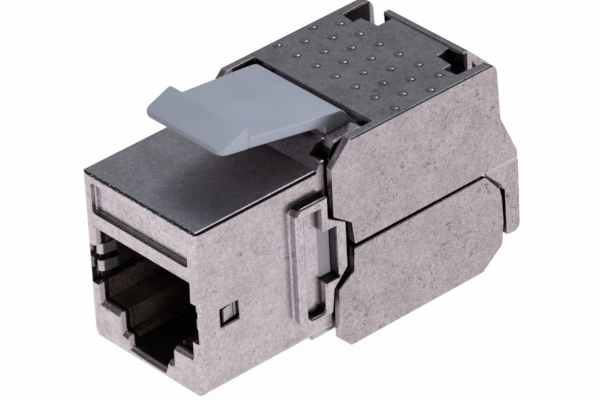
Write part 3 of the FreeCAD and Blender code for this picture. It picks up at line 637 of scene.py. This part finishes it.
def eased(shares, stray):
    # No rounding within reach of a place that strays, nor along the run of edges it belongs to.
    for edge in shares:
        ends = [corner.co for corner in edge.verts]
        for spot in stray:
            onEdge, share = intersect_point_line(spot, *ends)
            onEdge = ends[0] if share < 0 else ends[1] if share > 1 else onEdge
            if (onEdge - spot).length < rounding["strayReach"] * mm:
                shares[edge] = 0.0
                break
    return levelled(shares)


def strayPlaces(piece, solid):
    # Where the rounded piece strays from the solid or turns its back on it: centres of such triangles.
    made = piece.evaluated_get(bpy.context.evaluated_depsgraph_get()).to_mesh()
    made.calc_loop_triangles()
    found = []
    for triangle in made.loop_triangles:
        corners = [made.vertices[i].co for i in triangle.vertices]
        middle = (corners[0] + corners[1] + corners[2]) / 3
        _, facing, _, distance = solid.find_nearest(middle)
        normal = (corners[1] - corners[0]).cross(corners[2] - corners[0])
        turned = (normal.length > (rounding["least"] * mm) ** 2
                  and normal.normalized().dot(facing) < rounding["turnedOver"])
        if turned or distance > rounding["strayDistance"] * mm:
            found.append(middle)
    return found


def wholeFaces(mesh, sliver):
    # The solid's loose triangles welded and merged into whole faces, with its slivers closed.
    work = bmesh.new()
    work.from_mesh(mesh)
    bmesh.ops.remove_doubles(work, verts=work.verts, dist=rounding["weld"] * mm)
    bmesh.ops.dissolve_limit(work, angle_limit=math.radians(rounding["flatTurn"]), verts=work.verts,
                             edges=work.edges, delimit={"NORMAL"})
    bmesh.ops.dissolve_degenerate(work, edges=work.edges, dist=sliver * mm)
    return work


def bevelledPiece(node, values):
    # A copy of the solid with a bevel by each edge's share of the radius. Edges where the surface would stray
    # are left sharp, in a few tries.
    source = nodes[node].data
    solid = BVHTree.FromPolygons([point.co for point in source.vertices],
                                 [face.vertices[:] for face in source.polygons])
    mesh = source.copy()
    work = wholeFaces(mesh, values["sliver"])
    weight = work.edges.layers.float.new("bevel_weight_edge")
    shares = roundingShares(work, values["round"] * mm, values["leastRound"] * mm)
    piece = bpy.data.objects.new(values["piece"], mesh)
    bpy.context.scene.collection.objects.link(piece)
    bevel = piece.modifiers.new("roundedEdges", "BEVEL")
    bevel.width = values["round"] * mm
    bevel.segments = rounding["segments"]
    bevel.limit_method = "WEIGHT"
    bevel.use_clamp_overlap = False
    bevel.loop_slide = False
    stray = []
    for _ in range(rounding["tries"]):
        shares = eased(shares, stray)
        for edge, share in shares.items():
            edge[weight] = share
        work.to_mesh(mesh)
        mesh.update()
        stray = strayPlaces(piece, solid)
        if not stray:
            break
    print(values["piece"], "rounded edges", sum(share > 0 for share in shares.values()), "stray", len(stray))
    work.free()
    return piece


def castingPiece(node, values):
    # The bevel applied, with smooth faces that end at the edges left sharp, then dressed and set to ride.
    piece = bevelledPiece(node, values)
    rounded = bpy.data.meshes.new_from_object(piece.evaluated_get(bpy.context.evaluated_depsgraph_get()))
    piece.modifiers.clear()
    piece.data = rounded
    work = bmesh.new()
    work.from_mesh(rounded)
    shadedTurn = math.radians(rounding["shadedTurn"])
    for edge in work.edges:
        edge.smooth = len(edge.link_faces) == 2 and edge.calc_face_angle(0) < shadedTurn
    for face in work.faces:
        face.smooth = True
    work.to_mesh(rounded)
    work.free()
    rounded.materials.clear()
    rounded.materials.append(values["finish"])
    even = piece.modifiers.new("evenFaces", "WEIGHTED_NORMAL")
    even.keep_sharp = True
    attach(piece, values["body"])
    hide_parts(node)


for node, values in castings.items():
    castingPiece(node, values)
print("castings made")


# Panel latch

latch = {
    "tipDepth": 5.3,
    "tipTop": 20.9,
    "tipThick": 0.45,
    "tabHalf": 4.95,
    "tabCorner": 0.7,
    "ridgeDepth": 8.4,
    "ridgeTop": 22.05,
    "ridgeRound": 0.3,
    "ridgeNarrows": 0.6,
    "creaseSteps": (0.02, 0.05, 0.16, 0.3, 0.5),
    "thickness": 1.05,
    "rise": 1.34,
    "neckHalf": 4.9,
    "rootHalf": 5.5,
    "rootDepth": 17.6,
    "rootHeight": 18.3,
    "rootRadius": 1.3,
    "flareEnds": 0.5,
    "edgeRadius": 0.2,
    "fullRound": 0.46,
}


def latchDepths():
    # Depths of the rings: close together round the tab's corners, over the ridge, in the crease behind it and
    # round the root.
    v = latch
    tip = v["tipDepth"] + v["tabCorner"] * (1 - np.cos(np.linspace(0, math.pi / 2, 7)))
    tab = np.linspace(tip[-1] + 0.2, v["ridgeDepth"] - v["ridgeRound"], 12)
    ridge = v["ridgeDepth"] - v["ridgeRound"] * (1 - np.sin(np.linspace(0.1, math.pi / 2, 8)))
    crease = v["ridgeDepth"] + np.array(v["creaseSteps"])
    plate = np.linspace(v["ridgeDepth"] + 0.8, v["rootDepth"] - v["rootRadius"], 26)
    root = v["rootDepth"] - v["rootRadius"] * np.cos(np.linspace(0.12, math.pi - 0.02, 26))
    return np.concatenate([tip, tab, ridge, crease, plate, root])


def latchPiece():
    # Latch as rounded rectangles at each depth: half width, top and bottom are functions of the depth.
    # The top climbs from the tip to the ridge, drops to the plate and falls to the root; the bottom runs
    # parallel to the plate. Round the root both follow a circle about the bending line.
    v = latch
    depths = latchDepths()
    fromTip = (depths - v["tipDepth"]) / (v["ridgeDepth"] - v["tipDepth"])
    onTab = depths < v["ridgeDepth"] + v["creaseSteps"][1]
    beyondRoot = depths > v["rootDepth"]

    slope = v["rise"] / (v["rootDepth"] - v["ridgeDepth"])
    plateTop = v["rootHeight"] + v["rootRadius"] + (v["rootDepth"] - depths) * slope
    tabTop = v["tipTop"] + fromTip * (v["ridgeTop"] - v["tipTop"])
    overRidge = np.clip(depths - (v["ridgeDepth"] - v["ridgeRound"]), 0, v["ridgeRound"])
    ridgeDrop = v["ridgeRound"] - np.sqrt(v["ridgeRound"] ** 2 - overRidge ** 2)
    rootArc = np.sqrt(np.clip(v["rootRadius"] ** 2 - (depths - v["rootDepth"]) ** 2, 0, None))
    top = np.where(onTab, np.minimum(tabTop, v["ridgeTop"]) - ridgeDrop, plateTop)
    top = np.where(beyondRoot, v["rootHeight"] + rootArc, top)

    tipBottom = v["tipTop"] - v["tipThick"]
    ridgeBottom = v["rootHeight"] + v["rootRadius"] + v["rise"] - v["thickness"]
    tabBottom = tipBottom + fromTip * (ridgeBottom - tipBottom)
    bottom = np.where(depths < v["ridgeDepth"], tabBottom, plateTop - v["thickness"])
    nearRoot = depths > v["rootDepth"] - v["rootRadius"]
    bottom = np.where(nearRoot, np.minimum(bottom, v["rootHeight"] - rootArc), bottom)
    bottom = np.where(beyondRoot, v["rootHeight"] - rootArc, bottom)

    flare = np.clip((depths - v["ridgeDepth"]) / (v["rootDepth"] - v["flareEnds"] - v["ridgeDepth"]), 0, 1)
    plateHalf = v["neckHalf"] + (v["rootHalf"] - v["neckHalf"]) * flare
    beforeCorner = np.clip(v["tipDepth"] + v["tabCorner"] - depths, 0, None)
    inset = v["tabCorner"] - np.sqrt(np.clip(v["tabCorner"] ** 2 - beforeCorner ** 2, 0, None))
    half = np.where(onTab, v["tabHalf"] - inset - ridgeDrop * v["ridgeNarrows"], plateHalf)

    radius = np.minimum(v["edgeRadius"], (top - bottom) * v["fullRound"])
    rings = np.stack([roundedBox(h, b, t, r) for h, b, t, r in zip(half, bottom, top, radius)])
    points, faces = joined([place(rings[..., 0], depths[:, None], rings[..., 1])])
    piece = meshPiece("panelLatch", points, [face[::-1] for face in faces], latchFinish, "latch")
    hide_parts("panel_latch")


latchPiece()
print("latch made")


# Raised dots of the upper cover

dots = {
    "radius": 0.42,
    "height": 0.165,
    "steepness": 3.4,
    "ringShares": (1.10, 1.03, 0.97, 0.9, 0.82, 0.72, 0.6, 0.46, 0.3, 0.1),
    "skirt": 0.3,
    "sunk": 0.02,
    "around": 28,
    "rowCounts": (7, 6, 7, 6),
    "pitchAcross": 2.47,
    "pitchAlong": 2.05,
    "firstRow": 22.4,
    "plateTop": 18.64,
}


def dotPieces():
    # Staggered rows of low caps with steep rims: a ring's height is one less its share of the radius, raised
    # to the steepness. The rings outside the rim make a low skirt that ends just inside the plate.
    v = dots
    turn = np.linspace(0, 2 * math.pi, v["around"], endpoint=False)
    share = np.array(v["ringShares"])[:, None]
    rise = np.where(share < 1, 1 - share ** v["steepness"], v["skirt"] * (share[0] - share) - v["sunk"])
    grids = []
    for row, count in enumerate(v["rowCounts"]):
        for i in range(count):
            x = (i - (count - 1) / 2) * v["pitchAcross"]
            y = v["firstRow"] + row * v["pitchAlong"]
            grids.append(place(x + v["radius"] * share * np.cos(turn), y + v["radius"] * share * np.sin(turn),
                               v["plateTop"] + v["height"] * rise + 0 * turn))
    points, faces = joined(grids)
    piece = meshPiece("coverDots", points, faces, dotFinish, "upper_shell")


dotPieces()
print("dots made")


# Camera, lamps, floor

photoCamera = {
    "azimuth": 49.676,
    "elevation": 32.767,
    "roll": -3.078,
    "focal": 5135.75,
    "frameWidth": 600,
    "right": -12.766,
    "up": -13.926,
    "distance": 433.742,
    "sensor": 36.0,
    "nearest": 10,
    "farthest": 5000,
}


def makeCamera():
    # Camera of the photograph: the offsets place the drawing's origin in the camera's own axes.
    v = photoCamera
    azimuth = math.radians(v["azimuth"])
    elevation = math.radians(v["elevation"])
    roll = math.radians(v["roll"])
    back = Vector((math.sin(azimuth) * math.cos(elevation), -math.cos(azimuth) * math.cos(elevation),
                   math.sin(elevation)))
    level = Vector((0, 0, 1)).cross(back).normalized()
    upright = back.cross(level)
    right = math.cos(roll) * level + math.sin(roll) * upright
    up = -math.sin(roll) * level + math.cos(roll) * upright
    location = -(v["right"] * right + v["up"] * up) + v["distance"] * back
    lens = bpy.data.cameras.new("photoCamera")
    lens.sensor_width = v["sensor"]
    lens.lens = v["focal"] * v["sensor"] / v["frameWidth"]
    lens.clip_start = v["nearest"] * mm
    lens.clip_end = v["farthest"] * mm
    camera = bpy.data.objects.new("photoCamera", lens)
    bpy.context.scene.collection.objects.link(camera)
    turn = Matrix((right, up, back)).transposed().to_4x4()
    spot = (location - Vector((0, 0, portCentre))) * mm
    camera.matrix_world = Matrix.Translation(spot) @ turn
    bpy.context.scene.camera = camera


studio = {
    "floorTone": (0.88, 0.875, 0.88),
    "floorHalf": 900,
    "floorDrop": 10.2,
    "floorNear": 1.13,
    "floorFar": 0.98,
    "nearReach": (-30.0, -2.0),
    "floorGlow": 0.86,
    "floorGlowSeen": 0.97,
    "skylight": 1.25,
    "skylightWay": (-0.05, 0.54, 0.84),
    "skylightRim": (0.915, 0.965),
    "backLeft": 0.32,
    "backWay": (-0.76, 0.65, 0),
    "backRim": (-0.1, 0.75),
    "backRise": (0.08, 0.52),
    "frontLeft": 0.045,
    "frontWay": (-0.76, -0.65, 0),
    "frontRim": (0.0, 0.75),
    "besideCamera": 0.20,
    "besideWay": (0.50, -0.50, 0.707),
    "besideRim": (0.55, 0.80),
    "right": 0.016,
    "wallTint": (0.86, 0.98, 1.06),
    "lampsAim": (0, 16, 0),
    "lamps": [
        {"name": "besideCamera", "place": (390, -130, 80), "size": 200, "power": 0.95,
         "tint": (1.0, 0.95, 0.92)},
        {"name": "overhead", "place": (60, 150, 400), "size": 180, "power": 1.10, "tint": (1.0, 1.0, 1.0)},
    ],
}


def makeWorld():
    # White behind the camera's rays. All others meet dim walls: bluish and brightest half way up behind on
    # the left, nearly black on the right, softly lit beside the camera, with a small bright skylight behind.
    v = studio
    world = bpy.data.worlds.new("studio")
    world.use_nodes = True
    bpy.context.scene.world = world
    finish = Finish("studio", world.node_tree)
    coordinates = finish.node("ShaderNodeTexCoord", None, None, "Generated")

    def towards(way):
        return finish.dot(coordinates, way)

    back = towards(v["backWay"]).ramp(*v["backRim"]) * towards((0, 0, 1)).ramp(*v["backRise"])
    front = towards(v["frontWay"]).ramp(*v["frontRim"]) * v["frontLeft"]
    beside = towards(v["besideWay"]).ramp(*v["besideRim"]) * v["besideCamera"]
    skylight = towards(v["skylightWay"]).ramp(*v["skylightRim"])
    seen = finish.node("ShaderNodeLightPath", None, None, "Is Camera Ray")
    walls = back * v["backLeft"] + front + beside + v["right"]
    strength = seen + (1 - seen) * (walls + skylight * v["skylight"])
    tint = (back * (1 - seen) * (1 - skylight)).mix((1, 1, 1), v["wallTint"])
    background = finish.node("ShaderNodeBackground", None, {"Color": tint, "Strength": strength})
    finish.node("ShaderNodeOutputWorld", None, {"Surface": background})


def makeFloor():
    # Pale floor, overexposed like the photograph's: it glows for every ray, most where the front face mirrors
    # it, and keeps a faint shadow. It lies so low that the lower cover opens above it.
    v = studio
    half = v["floorHalf"] * mm
    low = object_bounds()[0].z - v["floorDrop"] * mm
    mesh = bpy.data.meshes.new("floor")
    mesh.from_pydata([(-half, -half, low), (half, -half, low), (half, half, low), (-half, half, low)], [],
                     [(0, 1, 2, 3)])
    floor = bpy.data.objects.new("floor", mesh)
    bpy.context.scene.collection.objects.link(floor)
    finish = Finish("floor")
    plain = finish.node("ShaderNodeBsdfDiffuse", None, {"Color": v["floorTone"]})
    seen = finish.node("ShaderNodeLightPath", None, None, "Is Camera Ray")
    near = finish.along(*v["frontWay"]).ramp(*v["nearReach"])
    mirrored = near * (v["floorNear"] - v["floorFar"]) + v["floorFar"]
    strength = seen + (1 - seen) * mirrored
    glow = finish.node("ShaderNodeEmission", None, {"Color": (1, 1, 1), "Strength": strength})
    share = seen * (v["floorGlowSeen"] - v["floorGlow"]) + v["floorGlow"]
    mixed = finish.node("ShaderNodeMixShader", None, {0: share, 1: plain, 2: glow})
    finish.node("ShaderNodeOutputMaterial", None, {"Surface": mixed})
    mesh.materials.append(finish.material)


def makeLamps():
    # Large soft lamps for the plastics; the metal mirrors the walls alone.
    for lamp in studio["lamps"]:
        light = bpy.data.lights.new(lamp["name"], "AREA")
        light.shape = "DISK"
        light.size = lamp["size"] * mm
        light.energy = lamp["power"]
        light.color = lamp["tint"]
        holder = bpy.data.objects.new(lamp["name"], light)
        holder.visible_glossy = False
        bpy.context.scene.collection.objects.link(holder)
        spot = Vector(lamp["place"]) * mm
        aim = Vector(studio["lampsAim"]) * mm - spot
        holder.matrix_world = Matrix.Translation(spot) @ aim.to_track_quat("-Z", "Y").to_matrix().to_4x4()


makeCamera()
makeWorld()
makeFloor()
makeLamps()
bpy.context.scene.view_settings.view_transform = "Standard"
print("studio made")
